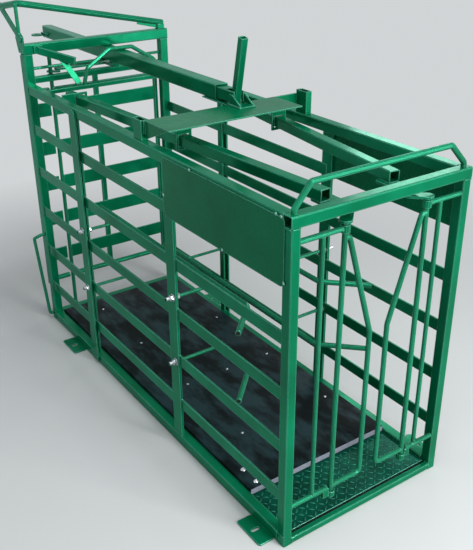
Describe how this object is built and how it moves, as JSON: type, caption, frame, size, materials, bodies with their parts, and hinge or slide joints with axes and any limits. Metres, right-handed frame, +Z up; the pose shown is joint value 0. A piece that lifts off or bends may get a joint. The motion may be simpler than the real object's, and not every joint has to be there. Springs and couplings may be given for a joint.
{
  "type": "sheep drafting crate",
  "caption": "Narrow welded tube crate for holding one sheep, with a V neck gate at the exit, a lever-worked swing gate at the entry, and side rails inside.",
  "frame": {"origin": "on the ground, in the middle of the welded frame's length and width, under the central cross member", "axes": "+X from the entry towards the exit, along the crate; +Y to its far side; +Z up"},
  "size_m": [2.3455, 0.7466, 1.3661],
  "materials": {
    "green_powder_coat": "glossy",
    "zinc_plate": "satin",
    "black_rubber": "matte"
  },
  "bodies": {
    "frame": {"front_post_near": "green_powder_coat", "front_post_far": "green_powder_coat", "front_top_rail": "green_powder_coat", "front_bottom_rail": "green_powder_coat", "front_hoop": "green_powder_coat", "rear_post_near": "green_powder_coat", "rear_post_far": "green_powder_coat", "rear_top_bar": "green_powder_coat", "entry_lintel": "green_powder_coat", "rear_bottom_rail": "green_powder_coat", "entry_tie_rod": "green_powder_coat", "near_top_rail": "green_powder_coat", "far_top_rail": "green_powder_coat", "near_bottom_rail": "green_powder_coat", "far_bottom_rail": "green_powder_coat", "near_side_grille": "green_powder_coat", "far_side_grille": "green_powder_coat", "near_strap": "green_powder_coat", "far_strap": "green_powder_coat", "near_sheet_panel": "green_powder_coat", "far_sheet_panel": "green_powder_coat", "floor_plate": "green_powder_coat", "foot_tab_near_rear": "green_powder_coat", "foot_tab_near_front": "green_powder_coat", "foot_tab_far_rear": "green_powder_coat", "foot_tab_far_front": "green_powder_coat", "cross_member": "green_powder_coat", "cross_stub_near": "green_powder_coat", "cross_stub_far": "green_powder_coat", "lever_bracket": "green_powder_coat", "beam_housing": "green_powder_coat", "beam_saddle": "green_powder_coat", "beam_hoop": "green_powder_coat", "beam_rest": "green_powder_coat", "beam_stay": "green_powder_coat", "entry_infill": "green_powder_coat", "rear_top_guard": "green_powder_coat", "rear_side_guard": "green_powder_coat", "exit_infill_near": "green_powder_coat", "exit_infill_far": "green_powder_coat", "lever_pin": "zinc_plate", "rubber_mat": "black_rubber"},
    "lever": {"lever": "green_powder_coat"},
    "push": {"push_bar": "green_powder_coat", "gate_yoke": "green_powder_coat"},
    "entry": {"entry_leaf": "green_powder_coat", "entry_crank": "green_powder_coat"},
    "exit_near": {"exit_leaf_near": "green_powder_coat"},
    "exit_far": {"exit_leaf_far": "green_powder_coat"},
    "near_link": {"near_link_tube": "green_powder_coat"},
    "far_link": {"far_link_tube": "green_powder_coat"},
    "rail_near_lower": {"inner_rail_near_lower": "green_powder_coat"},
    "rail_near_upper": {"inner_rail_near_upper": "green_powder_coat"},
    "rail_far_lower": {"inner_rail_far_lower": "green_powder_coat"},
    "rail_far_upper": {"inner_rail_far_upper": "green_powder_coat"}
  },
  "joints": [
    {"name": "lever_swing", "type": "hinge", "parent": "frame", "child": "lever", "pos_m": [0.095, 0.036, 1.085], "axis": [0, 1, 0], "range_deg": [-44, 0]},
    {"name": "push_slide", "type": "slide", "parent": "frame", "child": "push", "axis": [1, 0, 0], "range_m": [-0.0407, 0]},
    {"name": "entry_swing", "type": "hinge", "parent": "frame", "child": "entry", "pos_m": [-0.862, -0.2, 0.18], "axis": [0, 0, 1], "range_deg": [0, 80.1]},
    {"name": "exit_near_swing", "type": "hinge", "parent": "frame", "child": "exit_near", "pos_m": [0.84, -0.137, 0.14], "axis": [0, 0, 1], "range_deg": [-80, 0]},
    {"name": "exit_far_swing", "type": "hinge", "parent": "frame", "child": "exit_far", "pos_m": [0.84, 0.157, 0.14], "axis": [0, 0, 1], "range_deg": [0, 80.1]},
    {"name": "near_link_slide", "type": "slide", "parent": "frame", "child": "near_link", "axis": [0.9975, 0.0711, 0], "range_m": [0, 0.065]},
    {"name": "far_link_slide", "type": "slide", "parent": "frame", "child": "far_link", "axis": [0.9915, -0.1305, 0], "range_m": [0, 0.0652]},
    {"name": "rail_near_lower_slide", "type": "slide", "parent": "frame", "child": "rail_near_lower", "axis": [0, 1, 0], "range_m": [-0.01, 0.012]},
    {"name": "rail_near_upper_slide", "type": "slide", "parent": "frame", "child": "rail_near_upper", "axis": [0, 1, 0], "range_m": [-0.01, 0.012]},
    {"name": "rail_far_lower_slide", "type": "slide", "parent": "frame", "child": "rail_far_lower", "axis": [0, -1, 0], "range_m": [-0.01, 0.012]},
    {"name": "rail_far_upper_slide", "type": "slide", "parent": "frame", "child": "rail_far_upper", "axis": [0, -1, 0], "range_m": [-0.01, 0.012]}
  ],
  "couplings": [
    {"joint": "push_slide", "follows": "lever_swing", "m_per_rad": 0.052843},
    {"joint": "entry_swing", "follows": "lever_swing", "ratio": -1.8182},
    {"joint": "exit_far_swing", "follows": "exit_near_swing", "ratio": -1},
    {"joint": "near_link_slide", "follows": "exit_near_swing", "m_per_rad": -0.046153},
    {"joint": "far_link_slide", "follows": "exit_near_swing", "m_per_rad": -0.046433}
  ]
}
